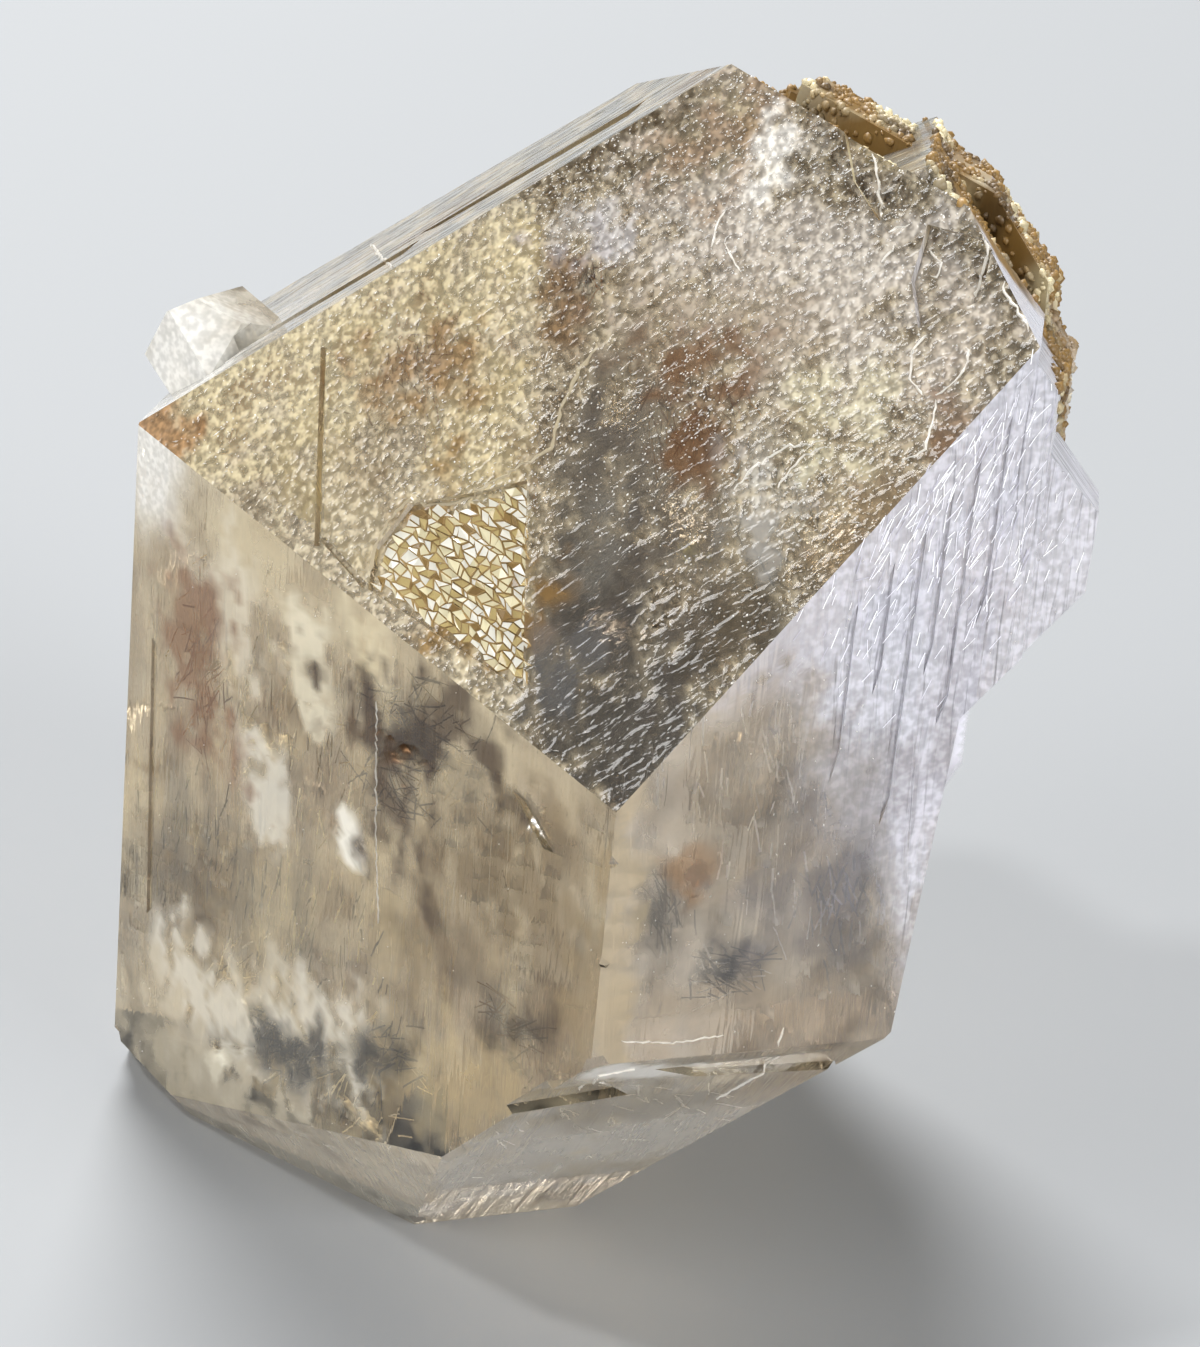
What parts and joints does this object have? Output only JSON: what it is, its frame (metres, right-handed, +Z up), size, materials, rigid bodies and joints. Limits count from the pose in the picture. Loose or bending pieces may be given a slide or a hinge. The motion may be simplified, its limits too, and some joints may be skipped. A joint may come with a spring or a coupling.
{
  "type": "smoky quartz crystal",
  "caption": "Stubby doubly terminated smoky quartz crystal with large flat faces, a small side crystal and a stained crust, standing on a flat broken base.",
  "frame": {"origin": "on the surface it stands on, under the centre of the crystal's box", "axes": "+Z up along the crystal's long c axis; the edge between the two front prism faces looks towards -Y; the small side crystal is on the +X side"},
  "size_m": [0.0354, 0.0368, 0.046],
  "materials": {
    "smoky_quartz": "clear to milky grey-brown quartz with natural growth faces and etched patches"
  },
  "bodies": {
    "root": {"crystal": "smoky_quartz"}
  },
  "joints": []
}
